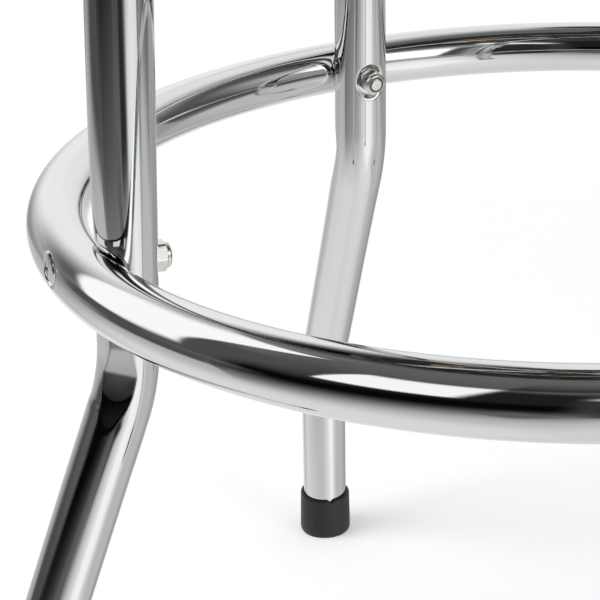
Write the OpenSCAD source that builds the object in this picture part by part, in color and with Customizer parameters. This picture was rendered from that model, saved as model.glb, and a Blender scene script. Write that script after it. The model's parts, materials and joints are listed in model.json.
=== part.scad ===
// Round padded swivel stool on four bent tube legs, with a foot ring bolted into pressed saddles.
// The origin is on the floor under the middle of the seat, +Z up, with one leg along each of +X, +Y, -X and -Y.

/* [Overall] */
// Height from the floor to the top of the crowned seat
stool_h = 762; // [700:1:840]

/* [Tube] */
// Outside diameter of the leg and ring tube
tube_d = 25.4; // [22:0.1:28]
// Wall of the leg and ring tube
tube_wall = 1.5; // [1.2:0.1:2]

/* [Foot ring] */
// Radius from the stool's axis to the middle of the ring tube
ring_r = 216; // [200:1:230]
// Height of the middle of the ring above the floor
ring_z = 302; // [270:1:340]
// How deep the ring lies in the saddle pressed into each leg
saddle_depth = 9.2; // [7:0.1:10]
// How far each ring bolt crosses the ring tube above its middle
ring_bolt_lift = 2; // [0:0.1:3]
// Depth of the dimple round each ring bolt's head
dimple_depth = 2; // [1.5:0.1:2.4]
// Depth of the round seat that each ring nut has pulled into the leg
nut_seat_depth = 2.2; // [1:0.1:2.6]
// Diameter of that seat
nut_seat_d = 18.4; // [16:0.1:20]

/* [Legs] */
// Lean of the upper and lower parts of each leg from upright, in degrees
leg_lean = 3.56; // [2.5:0.02:5]
// Lean of the slanted part between the two knees, in degrees
leg_splay = 22.55; // [18:0.05:26]
// Drop from the middle of the ring to the upper knee
knee_drop = 45.4; // [42:0.1:55]
// Height of the lower knee above the floor
knee_low_z = 115; // [95:1:135]
// Bend radius of both knees, at the middle of the tube
knee_bend_r = 90; // [60:1:110]
// Bend radius where a leg turns in under the seat, at the middle of the tube
top_bend_r = 64; // [50:1:75]
// Distance from the stool's axis to the inner end of each leg
leg_end_r = 24; // [20:0.5:27]

/* [Rubber tips] */
// Diameter of a tip at its foot
tip_foot_d = 30.6; // [29.5:0.1:34]
// Diameter of a tip at its mouth
tip_mouth_d = 29.4; // [28.6:0.1:32]
// Length of a tip along the leg
tip_h = 27; // [22:0.5:34]
// Thickness of the floor of a tip
tip_floor = 5; // [4:0.5:8]
// Thickness of the steel disc between the tube and the floor of a tip
tip_disc_t = 1.5; // [1:0.1:2]

/* [Fasteners] */
// Diameter of the ring bolts and leg bolts
bolt_d = 6.35; // [5:0.05:7]
// Width across the flats of their nuts and hexagon heads
nut_af = 11.1; // [10.5:0.1:12]
// Height of a ring nut with its collar
ring_nut_h = 7.9; // [7:0.1:9]
// Diameter of a ring bolt's pan head
pan_head_d = 13.8; // [12:0.1:14.5]
// Height of a ring bolt's pan head
pan_head_h = 3.6; // [3:0.1:4.2]
// Diameter of the leg bolts' flat washers
washer_d = 16; // [14:0.1:17]
// Thickness of the flat washers and of the pivot's washer
washer_t = 1.5; // [1:0.1:2]
// Thickness of the nuts welded on the lower swivel plate
weld_nut_h = 4.5; // [4:0.1:5]
// Height of a leg bolt's hexagon head
hex_head_h = 4; // [3.5:0.1:5]
// Distance from the stool's axis to the inner leg bolts
leg_bolt_in_r = 36; // [35:0.5:37]
// Distance from the stool's axis to the outer leg bolts
leg_bolt_out_r = 68; // [67:0.5:70]

/* [Swivel] */
// Width of the square swivel plates
plate_w = 152; // [148:1:160]
// Thickness of the swivel plates
plate_t = 3; // [2.6:0.1:3.5]
// Radius of the plates' rounded corners
plate_corner_r = 12; // [8:1:16]
// Gap between the two swivel plates
plate_gap = 7; // [6.8:0.1:7.5]
// Diameter of a bearing ball
ball_d = 10; // [9.6:0.1:10.4]
// Radius of the circle of balls
ball_circle_r = 52; // [51.6:0.1:52.4]
// Number of balls, a multiple of four
ball_count = 24; // [16:4:24]
// Thickness of the ball cage
cage_t = 2; // [1.5:0.1:2.5]
// Width of the ball cage's ring
cage_w = 14; // [13:0.1:15]
// Diameter of the pivot bolt's shank
pivot_d = 12; // [10:0.5:13]
// Diameter of the pivot bolt's flat head and of its thrust washer
pivot_head_d = 24; // [22:0.5:26]
// Height of the pivot bolt's head
pivot_head_h = 3; // [2:0.1:4]
// Width across the flats of the pivot nut
pivot_nut_af = 19; // [17:0.5:20]
// Height of the pivot nut
pivot_nut_h = 10; // [8:0.5:12]

/* [Seat] */
// Widest diameter of the finished seat
seat_d = 381; // [360:1:400]
// How far the plywood board's rim lies inside the seat's widest line
board_in = 15.5; // [14:0.5:24]
// Thickness of the plywood board
board_t = 15; // [12:1:18]
// Thickness of the foam at the middle of the seat
foam_h = 70; // [60:1:85]
// How far the seat's top falls from its middle to the welt
crown_h = 20; // [12:1:26]
// How far the line where the top panel and the side band meet lies inside the seat's widest line
welt_in = 6.5; // [4:0.5:10]
// Diameter of the welt cord
welt_d = 5; // [4:0.1:6]
// Thickness of the vinyl
vinyl_t = 1.2; // [0.8:0.1:1.6]
// Width of the hem turned in under the board
hem_w = 24; // [18:1:30]
// Thickness of the dust cover
dust_t = 0.5; // [0.3:0.1:0.8]
// How far the seat screws lie inside the upper swivel plate's edges
seat_screw_in = 16; // [14:0.5:18]
// Diameter of a seat screw
seat_screw_d = 6; // [5:0.1:6.4]
// Diameter of a seat screw's pan head
seat_screw_head_d = 11; // [10:0.1:12]
// Height of a seat screw's pan head
seat_screw_head_h = 3.4; // [3:0.1:3.8]
// Outside diameter of a tee nut's barrel
tee_barrel_d = 8; // [7.6:0.1:9]
// Length of a tee nut's barrel
tee_barrel_h = 9; // [7:0.5:10]
// Diameter of a tee nut's flange
tee_flange_d = 19; // [17:0.5:21]
// Thickness of a tee nut's flange
tee_flange_t = 1.4; // [1:0.1:1.8]
// Number of staples under the seat, a multiple of four
staple_count = 24; // [16:4:32]

/* [Hidden] */
$fn = 96;

// Legs, spaced evenly
leg_count = 4;
leg_step = 360 / leg_count;
// Gap between pieces that fit closely but don't grip
fit_gap = 0.1;
// Radial gap round a bolt in its hole
hole_gap = 0.3;
// Radial gap of the pivot in the lower plate
pivot_gap = 0.05;
// Radial gap round a ball in its groove and in the cage
ball_gap = 0.15;
// How far a cut runs past the face that it opens
cut_over = 2;

tube_r = tube_d / 2;
bore_r = tube_r - tube_wall;
bolt_r = bolt_d / 2;
leg_r = ring_r - tube_d + saddle_depth;
knee_high_z = ring_z - knee_drop;

// Heights, worked down from the top of the seat
board_top_z = stool_h - vinyl_t - foam_h;
board_z = board_top_z - board_t;
upper_plate_z = board_z - plate_t;
lower_plate_z = upper_plate_z - plate_gap - plate_t;
lower_plate_top_z = lower_plate_z + plate_t;
ball_z = lower_plate_top_z + plate_gap / 2;
beam_z = lower_plate_z - fit_gap - tube_r;

// The leg's line as [distance from the stool's axis, height], from its inner end to its foot
leg_top_r = leg_r - (beam_z - ring_z) * tan(leg_lean);
knee_high_r = leg_r + knee_drop * tan(leg_lean);
knee_low_r = knee_high_r + (knee_high_z - knee_low_z) * tan(leg_splay);
foot_r = knee_low_r + knee_low_z * tan(leg_lean);
// The tip is sunk by its tilt, so that its trimmed foot lies flat all over
tip_sink = tip_foot_d / 2 * sin(leg_lean);
tube_foot_z = (tip_floor + tip_disc_t) * cos(leg_lean) - tip_sink;
tube_foot_r = foot_r - tube_foot_z * tan(leg_lean);
leg_line = [[leg_end_r, beam_z], [leg_top_r, beam_z], [knee_high_r, knee_high_z], [knee_low_r, knee_low_z],
    [tube_foot_r, tube_foot_z]];
leg_bends = [0, top_bend_r, knee_bend_r, knee_bend_r, 0];
// The tube is a little thinner round a bend, and each straight part runs a little way into it
bend_thin = 0.06;
bend_lap = 0.4;

// Length of bolt that shows past its nut
bolt_end_out = 0.8;
// Chamfer at a bolt's end
bolt_chamfer = 0.7;
// Gap between a pan head and the wall of its dimple
dimple_rim = 0.8;
dimple_r = pan_head_d / 2 + dimple_rim;

// Ring bolt, along its own axis from the middle of the ring tube outwards
bolt_to_leg = (ring_r - leg_r) * cos(leg_lean) + ring_bolt_lift * sin(leg_lean);
bolt_head_x = tube_r - dimple_depth;
leg_skin_x = -bolt_to_leg - tube_r;
leg_back_x = leg_skin_x + nut_seat_depth;
ring_nut_x = leg_back_x - ring_nut_h;
bolt_end_x = ring_nut_x - bolt_end_out;

// Rim of a pan head and width, length and depth of its cross recess
pan_rim_share = 0.4;
recess_w = 1.3;
recess_len = 7;
recess_depth = 2;
// Collar that holds the nylon in a ring nut
collar_h = 2.1;
collar_wall = 1;
collar_r = nut_af / 2 - collar_wall / 2;
nut_body_h = ring_nut_h - collar_h;
nut_chamfer_share = 0.12;

// Rounding of a tip's foot and of its lip
tip_foot_round = 3;
tip_round_step = 18;
tip_lip_h = 2;
tip_disc_gap = 0.3;

// Seat outline, from the middle of the top to the foot of the side
seat_r = seat_d / 2;
board_r = seat_r - board_in;
welt_ring_r = seat_r - welt_in;
welt_z = stool_h - crown_h;
side_foot_r = board_r + vinyl_t + fit_gap;
side_foot_z = board_z - vinyl_t;
top_steps = 24;
side_steps = 16;
crown_power = 2.6;
side_bulge_share = 1.55;
hem_r = board_r - hem_w;
// Distance of each seat screw from the plate's two middle lines
seat_screw_xy = plate_w / 2 - seat_screw_in;
// Staples: the circle that they stand on, their width, wire and legs
staple_in_share = 0.75;
staple_r = board_r - hem_w * staple_in_share;
staple_w = 10;
staple_wire = 1.1;
staple_leg = 8;
// Dust cover, from round the plates to over the hem
dust_hole_share = 0.72;
dust_hole_r = plate_w * dust_hole_share;
dust_in_share = 0.4;
dust_r = board_r - hem_w * dust_in_share;
// Pivot bolt's end
pivot_foot_z = lower_plate_z - ball_gap - washer_t - pivot_nut_h - bolt_end_out;

vinyl_colour = "#17181a";
chrome_colour = "#d9dcde";
zinc_colour = "#b9b5aa";

function unit(v) = v / norm(v);
function heading(line, i) = atan2(line[i + 1].y - line[i].y, line[i + 1].x - line[i].x);
function turn(line, i) = heading(line, i) - heading(line, i - 1);
function trim(line, bends, i) = i == 0 || i == len(line) - 1 ? 0 : bends[i] * tan(abs(turn(line, i)) / 2);

// A round bar along a flat line of [x, y] points, bent at each inner point, and longer by extra at both ends
module bent_bar(line, bends, r, extra = 0) {
    last = len(line) - 1;
    for (i = [0 : last - 1]) {
        way = unit(line[i + 1] - line[i]);
        from = trim(line, bends, i) - (i == 0 ? extra : bend_lap);
        to = norm(line[i + 1] - line[i]) - trim(line, bends, i + 1) + (i == last - 1 ? extra : bend_lap);
        translate(line[i] + way * from)
            rotate([0, 0, heading(line, i)])
                rotate([0, 90, 0]) cylinder(h = to - from, r = r);
    }
    for (i = [1 : last - 1]) {
        start = line[i] - unit(line[i] - line[i - 1]) * trim(line, bends, i);
        side = turn(line, i) > 0 ? 1 : -1;
        to_centre = heading(line, i - 1) + 90 * side;
        first = side > 0 ? to_centre + 180 : to_centre + 180 + turn(line, i);
        translate(start + bends[i] * [cos(to_centre), sin(to_centre)])
            rotate([0, 0, first])
                rotate_extrude(angle = abs(turn(line, i))) translate([bends[i], 0]) circle(r - bend_thin);
    }
}

// Stands a flat [distance, height] drawing up in the plane of leg n
module in_leg_plane(n) {
    rotate([0, 0, leg_step * (n - 1)]) rotate([90, 0, 0]) children();
}

// Puts children on the ring bolt's axis of leg n, with +X outwards along the bolt
module on_ring_bolt(n) {
    rotate([0, 0, leg_step * (n - 1)])
        translate([ring_r, 0, ring_z + ring_bolt_lift])
            rotate([0, -leg_lean, 0]) children();
}

// A cylinder along X from one place to another
module rod_x(from, to, r) {
    translate([from, 0, 0]) rotate([0, 90, 0]) cylinder(h = to - from, r = r);
}

// A torus lying at the ring's height
module ring_torus(r) {
    translate([0, 0, ring_z]) rotate_extrude() translate([ring_r, 0]) circle(r);
}

// The dimple's cutter at every leg, grown on its sides and inwards
module dimple_cuts(grow) {
    for (n = [1 : leg_count])
        on_ring_bolt(n) rod_x(bolt_head_x - grow, tube_r + cut_over, dimple_r + grow);
}

module foot_ring() {
    color(chrome_colour) difference() {
        ring_torus(tube_r);
        difference() {
            ring_torus(bore_r);
            dimple_cuts(tube_wall);
        }
        dimple_cuts(0);
        for (n = [1 : leg_count])
            on_ring_bolt(n) rod_x(-tube_d, tube_d, bolt_r + hole_gap);
    }
}

// The cutter of the seat under the ring nut of leg n, grown on its sides and inwards
module nut_seat_cut(n, grow) {
    on_ring_bolt(n) rod_x(leg_skin_x - cut_over, leg_back_x + grow, nut_seat_d / 2 + grow);
}

module leg(n) {
    color(chrome_colour) difference() {
        in_leg_plane(n) bent_bar(leg_line, leg_bends, tube_r);
        difference() {
            in_leg_plane(n) bent_bar(leg_line, leg_bends, bore_r, cut_over);
            ring_torus(tube_r + fit_gap + tube_wall);
            nut_seat_cut(n, tube_wall);
        }
        ring_torus(tube_r + fit_gap);
        nut_seat_cut(n, 0);
        on_ring_bolt(n) rod_x(leg_skin_x - cut_over, 0, bolt_r + hole_gap);
        for (r = [leg_bolt_in_r, leg_bolt_out_r])
            at_leg_bolt(n, r) translate([0, 0, -tube_r - cut_over])
                cylinder(h = tube_d + 2 * cut_over, r = bolt_r + hole_gap);
    }
}

// Puts children on the axis of one leg bolt, at the middle of the leg's level part
module at_leg_bolt(n, r) {
    rotate([0, 0, leg_step * (n - 1)]) translate([r, 0, beam_z]) children();
}

// Puts children at the foot of leg n, with +Z up along the leg and the origin at the sunk foot of the tip
module at_foot(n) {
    rotate([0, 0, leg_step * (n - 1)])
        translate([foot_r + tip_sink * tan(leg_lean), 0, -tip_sink])
            rotate([0, -leg_lean, 0]) children();
}

module leg_tip(n) {
    foot = tip_foot_d / 2;
    mouth = tip_mouth_d / 2;
    pocket = tube_r + pivot_gap;
    lip = (mouth + pocket) / 2;
    color("#26282a") difference() {
        at_foot(n) rotate_extrude() difference() {
            polygon(concat([[0, 0]],
                [for (a = [-90 : tip_round_step : 0]) [foot, tip_foot_round] + tip_foot_round * [cos(a) - 1, sin(a)]],
                [[mouth, tip_h - tip_lip_h], [lip, tip_h], [0, tip_h]]));
            translate([0, tip_floor]) square([pocket, tip_h]);
        }
        translate([-ring_r * 2, -ring_r * 2, -tip_h]) cube([ring_r * 4, ring_r * 4, tip_h]);
    }
}

module tip_discs() {
    color(zinc_colour) for (n = [1 : leg_count])
        at_foot(n) translate([0, 0, tip_floor]) cylinder(h = tip_disc_t, r = tube_r - tip_disc_gap);
}

// A bolt's shank along X, with its end chamfered
module shank_x(from, to, r) {
    translate([from, 0, 0]) rotate([0, 90, 0]) {
        cylinder(h = bolt_chamfer, r1 = r - bolt_chamfer, r2 = r);
        translate([0, 0, bolt_chamfer]) cylinder(h = to - from - bolt_chamfer, r = r);
    }
}

// A low domed head on the plane z = 0, with a cross recess
module pan_head(d, h) {
    rise = h * (1 - pan_rim_share);
    dome_r = (d * d / 4 + rise * rise) / (2 * rise);
    difference() {
        intersection() {
            cylinder(h = h, r = d / 2);
            translate([0, 0, h - dome_r]) sphere(dome_r);
        }
        for (a = [0, 90])
            rotate([0, 0, a]) translate([-recess_len / 2, -recess_w / 2, h - recess_depth])
                cube([recess_len, recess_w, recess_depth + cut_over]);
    }
}

module ring_bolts() {
    color(zinc_colour) for (n = [1 : leg_count])
        on_ring_bolt(n) {
            shank_x(bolt_end_x, bolt_head_x, bolt_r);
            translate([bolt_head_x, 0, 0]) rotate([0, 90, 0]) rotate([0, 0, 45]) pan_head(pan_head_d, pan_head_h);
        }
}

// A hexagon on the plane z = 0 with its corners chamfered at the top, and at the foot if both is true
module hex_block(af, h, both = false) {
    corner = af / sqrt(3);
    drop = af * nut_chamfer_share;
    flat = af / 2;
    intersection() {
        cylinder(h = h, r = corner, $fn = 6);
        rotate_extrude() polygon(concat([[0, 0]], both ? [[flat, 0], [corner, drop / 2]] : [[corner, 0]],
            [[corner, h - drop / 2], [flat, h], [0, h]]));
    }
}

module ring_nuts() {
    color(zinc_colour) for (n = [1 : leg_count])
        on_ring_bolt(n) translate([leg_back_x, 0, 0]) rotate([0, -90, 0]) difference() {
            union() {
                hex_block(nut_af, nut_body_h, true);
                translate([0, 0, nut_body_h]) cylinder(h = collar_h, r1 = collar_r, r2 = collar_r - collar_wall / 2);
            }
            translate([0, 0, -cut_over]) cylinder(h = ring_nut_h + 2 * cut_over, r = bolt_r + pivot_gap);
            translate([0, 0, nut_body_h]) cylinder(h = collar_h + cut_over, r = collar_r - collar_wall);
        }
}

module ring_nut_inserts() {
    color("#3c4f66") for (n = [1 : leg_count])
        on_ring_bolt(n) translate([leg_back_x, 0, 0]) rotate([0, -90, 0]) difference() {
            translate([0, 0, nut_body_h]) cylinder(h = collar_h - pivot_gap, r = collar_r - collar_wall - pivot_gap);
            translate([0, 0, nut_body_h - cut_over])
                cylinder(h = collar_h + 2 * cut_over, r = bolt_r + pivot_gap);
        }
}

// Does something at both bolts of every leg
module at_leg_bolts() {
    for (n = [1 : leg_count])
        for (r = [leg_bolt_in_r, leg_bolt_out_r])
            at_leg_bolt(n, r) children();
}

module leg_bolts() {
    under = tube_r + washer_t;
    top = tube_r + fit_gap + plate_t + weld_nut_h + bolt_chamfer;
    color(zinc_colour) at_leg_bolts() {
        translate([0, 0, -under]) mirror([0, 0, 1]) hex_block(nut_af, hex_head_h);
        translate([0, 0, -under]) cylinder(h = under + top - bolt_chamfer, r = bolt_r);
        translate([0, 0, top - bolt_chamfer]) cylinder(h = bolt_chamfer, r1 = bolt_r, r2 = bolt_r - bolt_chamfer);
    }
}

module leg_bolt_washers() {
    color(zinc_colour) at_leg_bolts() difference() {
        translate([0, 0, -tube_r - washer_t]) cylinder(h = washer_t, r = washer_d / 2);
        translate([0, 0, -tube_r - washer_t - cut_over])
            cylinder(h = washer_t + 2 * cut_over, r = bolt_r + hole_gap);
    }
}

module leg_weld_nuts() {
    color(zinc_colour) at_leg_bolts() translate([0, 0, tube_r + fit_gap + plate_t]) difference() {
        hex_block(nut_af, weld_nut_h);
        translate([0, 0, -cut_over]) cylinder(h = weld_nut_h + 2 * cut_over, r = bolt_r + pivot_gap);
    }
}

// A square with rounded corners
module round_square(w, r) {
    square([w - 2 * r, w], center = true);
    square([w, w - 2 * r], center = true);
    for (x = [-1, 1])
        for (y = [-1, 1])
            translate([x * (w / 2 - r), y * (w / 2 - r)]) circle(r);
}

// The ring of air that the balls roll in
module ball_groove() {
    translate([0, 0, ball_z]) rotate_extrude() translate([ball_circle_r, 0]) circle(ball_d / 2 + ball_gap);
}

module lower_swivel_plate() {
    color("#2b2d30") difference() {
        translate([0, 0, lower_plate_z]) linear_extrude(plate_t)
            rotate([0, 0, leg_step / 2]) round_square(plate_w, plate_corner_r);
        ball_groove();
        translate([0, 0, lower_plate_z - cut_over])
            cylinder(h = plate_t + 2 * cut_over, r = pivot_d / 2 + pivot_gap);
        at_leg_bolts() translate([0, 0, tube_r - cut_over])
            cylinder(h = plate_t + 2 * cut_over, r = bolt_r + hole_gap);
    }
}

// Does something at each seat screw, on the plane z = 0
module at_seat_screws() {
    for (x = [-1, 1])
        for (y = [-1, 1])
            translate([x * seat_screw_xy, y * seat_screw_xy, 0]) children();
}

module upper_swivel_plate() {
    color("#2b2d30") difference() {
        translate([0, 0, upper_plate_z]) linear_extrude(plate_t) round_square(plate_w, plate_corner_r);
        ball_groove();
        translate([0, 0, upper_plate_z - cut_over])
            cylinder(h = plate_t + 2 * cut_over, r = pivot_d / 2 + pivot_gap);
        at_seat_screws() translate([0, 0, upper_plate_z - cut_over])
            cylinder(h = plate_t + 2 * cut_over, r = seat_screw_d / 2 + hole_gap);
    }
}

module swivel_balls() {
    color("#d5d8da") for (i = [0 : ball_count - 1])
        rotate([0, 0, (i + 0.5) * 360 / ball_count]) translate([ball_circle_r, 0, ball_z]) sphere(ball_d / 2);
}

module ball_cage() {
    color("#c9c3ae") difference() {
        translate([0, 0, ball_z - cage_t / 2]) cylinder(h = cage_t, r = ball_circle_r + cage_w / 2);
        translate([0, 0, ball_z - cage_t]) cylinder(h = 2 * cage_t, r = ball_circle_r - cage_w / 2);
        for (i = [0 : ball_count - 1])
            rotate([0, 0, (i + 0.5) * 360 / ball_count]) translate([ball_circle_r, 0, ball_z - cage_t])
                cylinder(h = 2 * cage_t, r = ball_d / 2 + ball_gap);
    }
}

module pivot_bolt() {
    color(zinc_colour) {
        translate([0, 0, pivot_foot_z]) cylinder(h = bolt_chamfer, r1 = pivot_d / 2 - bolt_chamfer, r2 = pivot_d / 2);
        translate([0, 0, pivot_foot_z + bolt_chamfer])
            cylinder(h = board_z - pivot_foot_z - bolt_chamfer, r = pivot_d / 2);
        translate([0, 0, board_z]) cylinder(h = pivot_head_h, r = pivot_head_d / 2);
    }
}

module pivot_washer() {
    color(zinc_colour) difference() {
        translate([0, 0, lower_plate_z - ball_gap - washer_t]) cylinder(h = washer_t, r = pivot_head_d / 2);
        translate([0, 0, pivot_foot_z]) cylinder(h = lower_plate_z - pivot_foot_z, r = pivot_d / 2 + pivot_gap);
    }
}

module pivot_nut() {
    color(zinc_colour) difference() {
        translate([0, 0, lower_plate_z - ball_gap - washer_t]) mirror([0, 0, 1])
            hex_block(pivot_nut_af, pivot_nut_h, true);
        translate([0, 0, pivot_foot_z - cut_over])
            cylinder(h = lower_plate_z - pivot_foot_z + cut_over, r = pivot_d / 2 + pivot_gap);
    }
}

module seat_board() {
    color("#b98f5c") difference() {
        translate([0, 0, board_z]) cylinder(h = board_t, r = board_r);
        translate([0, 0, board_z - cut_over])
            cylinder(h = board_t + 2 * cut_over, r = pivot_head_d / 2 + dimple_rim);
        at_seat_screws() {
            translate([0, 0, board_z - cut_over])
                cylinder(h = board_t + 2 * cut_over, r = tee_barrel_d / 2 + pivot_gap);
            translate([0, 0, board_top_z - tee_flange_t])
                cylinder(h = tee_flange_t + cut_over, r = tee_flange_d / 2 + fit_gap);
        }
    }
}

module seat_tee_nuts() {
    color(zinc_colour) at_seat_screws() difference() {
        union() {
            translate([0, 0, board_top_z - tee_flange_t]) cylinder(h = tee_flange_t, r = tee_flange_d / 2);
            translate([0, 0, board_top_z - tee_flange_t - tee_barrel_h])
                cylinder(h = tee_barrel_h, r = tee_barrel_d / 2);
        }
        translate([0, 0, board_z]) cylinder(h = board_t + cut_over, r = seat_screw_d / 2 + pivot_gap);
    }
}

module seat_screws() {
    len_in = plate_t + board_t - tee_flange_t;
    color(zinc_colour) at_seat_screws() {
        translate([0, 0, upper_plate_z]) cylinder(h = len_in - bolt_chamfer, r = seat_screw_d / 2);
        translate([0, 0, upper_plate_z + len_in - bolt_chamfer])
            cylinder(h = bolt_chamfer, r1 = seat_screw_d / 2, r2 = seat_screw_d / 2 - bolt_chamfer);
        translate([0, 0, upper_plate_z]) mirror([0, 0, 1]) pan_head(seat_screw_head_d, seat_screw_head_h);
    }
}

// Outline of the crowned top, from the middle to the welt, as [distance, height]
function top_line() = [for (i = [0 : top_steps])
    let (s = i / top_steps) [welt_ring_r * s, stool_h - crown_h * pow(s, crown_power)]];
// Outline of the side, from the welt to the foot, full in the middle and drawn in at the foot
function side_line() = [for (i = [0 : side_steps])
    let (s = i / side_steps) [
        welt_ring_r + (side_foot_r - welt_ring_r) * s + (seat_r - welt_ring_r) * side_bulge_share * sin(180 * s),
        welt_z + (side_foot_z - welt_z) * s]];
// A line moved in by t, square to itself
function inset(line, t) = [for (i = [0 : len(line) - 1])
    let (a = line[max(i - 1, 0)], b = line[min(i + 1, len(line) - 1)], way = unit(b - a))
        line[i] + t * [way.y, -way.x]];
function flip(line) = [for (i = [len(line) - 1 : -1 : 0]) line[i]];
function after_first(line) = [for (i = [1 : len(line) - 1]) line[i]];
function middle(line) = [for (i = [1 : len(line) - 2]) line[i]];

// The circle that the welt fills, between the top panel and the side band
module welt_disc(grow = 0) {
    translate([welt_ring_r, welt_z]) circle(welt_d / 2 + grow);
}

module seat_foam() {
    color("#e6dfc2") rotate_extrude() difference() {
        intersection() {
            polygon(concat([[0, side_foot_z], [0, stool_h - vinyl_t]], after_first(inset(top_line(), vinyl_t)),
                after_first(inset(side_line(), vinyl_t))));
            translate([0, board_top_z]) square([seat_r, foam_h + vinyl_t]);
        }
        welt_disc(fit_gap);
    }
}

module seat_top_panel() {
    color(vinyl_colour) rotate_extrude() difference() {
        polygon(concat(top_line(), flip(after_first(inset(top_line(), vinyl_t))), [[0, stool_h - vinyl_t]]));
        welt_disc(pivot_gap);
    }
}

module seat_side_band() {
    color(vinyl_colour) rotate_extrude() difference() {
        polygon(concat(side_line(), [[hem_r, side_foot_z], [hem_r, board_z], [board_r + fit_gap, board_z]],
            flip(middle(inset(side_line(), vinyl_t)))));
        welt_disc(pivot_gap);
    }
}

module seat_welt() {
    color(vinyl_colour) rotate_extrude() welt_disc();
}

module dust_cover() {
    color("#1d1d1f") rotate_extrude() polygon([
        [dust_hole_r, board_z - dust_t], [hem_r - dust_t * 2, board_z - dust_t],
        [hem_r - dust_t, side_foot_z - dust_t], [dust_r, side_foot_z - dust_t], [dust_r, side_foot_z],
        [hem_r - dust_t / 2, side_foot_z], [hem_r - dust_t, board_z], [dust_hole_r, board_z]]);
}

module seat_staples() {
    color(zinc_colour) for (i = [0 : staple_count - 1])
        rotate([0, 0, (i + 0.5) * 360 / staple_count]) translate([staple_r, 0, side_foot_z - dust_t - staple_wire])
            for (y = [-1, 0, 1])
                if (y == 0) translate([-staple_wire / 2, -staple_w / 2, 0])
                    cube([staple_wire, staple_w, staple_wire]);
                else translate([-staple_wire / 2, y * (staple_w - staple_wire) / 2 - staple_wire / 2, 0])
                    cube([staple_wire, staple_wire, staple_leg]);
}

foot_ring();
leg(1);  // leg_1
leg(2);  // leg_2
leg(3);  // leg_3
leg(4);  // leg_4
leg_tip(1);  // leg_tip_1
leg_tip(2);  // leg_tip_2
leg_tip(3);  // leg_tip_3
leg_tip(4);  // leg_tip_4
tip_discs();
ring_bolts();
ring_nuts();
ring_nut_inserts();
leg_bolts();
leg_bolt_washers();
leg_weld_nuts();
lower_swivel_plate();
upper_swivel_plate();
swivel_balls();
ball_cage();
pivot_bolt();
pivot_washer();
pivot_nut();
seat_board();
seat_tee_nuts();
seat_screws();
seat_foam();
seat_top_panel();
seat_side_band();
seat_welt();
dust_cover();
seat_staples();
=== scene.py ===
"""Looks for the round padded swivel stool: a close view of its foot ring and two of its legs."""
import json
import math

import bmesh
import bpy
import numpy as np
from mathutils import Matrix, Vector
from mathutils.bvhtree import BVHTree


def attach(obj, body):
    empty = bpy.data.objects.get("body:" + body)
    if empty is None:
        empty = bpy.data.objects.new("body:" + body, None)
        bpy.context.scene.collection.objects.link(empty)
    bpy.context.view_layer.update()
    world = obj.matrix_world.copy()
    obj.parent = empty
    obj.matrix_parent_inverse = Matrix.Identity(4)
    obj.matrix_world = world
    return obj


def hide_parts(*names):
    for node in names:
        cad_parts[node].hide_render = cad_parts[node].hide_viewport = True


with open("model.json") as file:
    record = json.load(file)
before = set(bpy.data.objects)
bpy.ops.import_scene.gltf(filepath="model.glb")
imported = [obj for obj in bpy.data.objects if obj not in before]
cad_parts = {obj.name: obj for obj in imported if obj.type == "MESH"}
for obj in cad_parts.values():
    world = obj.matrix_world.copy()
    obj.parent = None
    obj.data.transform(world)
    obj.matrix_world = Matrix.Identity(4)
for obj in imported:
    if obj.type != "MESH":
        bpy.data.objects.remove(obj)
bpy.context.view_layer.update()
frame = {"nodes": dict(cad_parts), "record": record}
scene = bpy.context.scene
MM = 0.001

# Sizes shared with the part's source, in millimetres
TUBE_R, TUBE_WALL = 12.7, 1.5
RING_R, RING_Z, SADDLE_DEPTH, BOLT_LIFT = 216.0, 302.0, 9.2, 2.0
LEAN, SPLAY = math.radians(3.56), math.radians(22.55)
LEG_R = RING_R - 2 * TUBE_R + SADDLE_DEPTH
LEG_END_R, BEAM_Z, TOP_BEND_R, KNEE_BEND_R = 24.0, 650.0, 64.0, 90.0
KNEE_DROP, KNEE_LOW_Z = 45.4, 115.0
KNEE_HIGH_Z = RING_Z - KNEE_DROP
LEG_TOP_R = LEG_R - (BEAM_Z - RING_Z) * math.tan(LEAN)
KNEE_HIGH_R = LEG_R + KNEE_DROP * math.tan(LEAN)
KNEE_LOW_R = KNEE_HIGH_R + (KNEE_HIGH_Z - KNEE_LOW_Z) * math.tan(SPLAY)
FOOT_R = KNEE_LOW_R + KNEE_LOW_Z * math.tan(LEAN)
TIP_FOOT_R, TIP_MOUTH_R, TIP_H, TIP_FLOOR = 15.3, 14.7, 27.0, 6.5
TIP_SINK = TIP_FOOT_R * math.sin(LEAN)
# Each ring bolt as drilled by hand, for legs 1 to 4: how far above the ring's middle it sits, how far along the
# ring, and its slant
LIFT = (None, BOLT_LIFT, -0.3, 4.7, 2.2)
SLIDE = (None, 0.5, 0.0, -2.5, -0.4)
SKEW = (None, 0.014, 0.0, -0.073, -0.01)
# Where a bolt's head sits along it from the ring's middle, and how far it tips over on its shank
HEAD_X, HEAD_PIVOT = TUBE_R - 1.6, TUBE_R - 3.0
HEAD_TIP = (None, 0.04, -0.02, -0.1, 0.05)
HEAD_R, NECK_R, SHANK_R = 6.7, 1.9, 3.17
# How deep a nut sits in the tube's dented side, and where its foot then is along its bolt
SEAT_IN = 2.2
NUT_X = -((RING_R - LEG_R) * math.cos(LEAN) + BOLT_LIFT * math.sin(LEAN) + TUBE_R) + SEAT_IN
# A lock nut's width over its flats, its height up to the collar, and how far past its foot the bolt ends
NUT_AF, NUT_BODY, BOLT_END = 11.1, 5.9, 8.3


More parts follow.
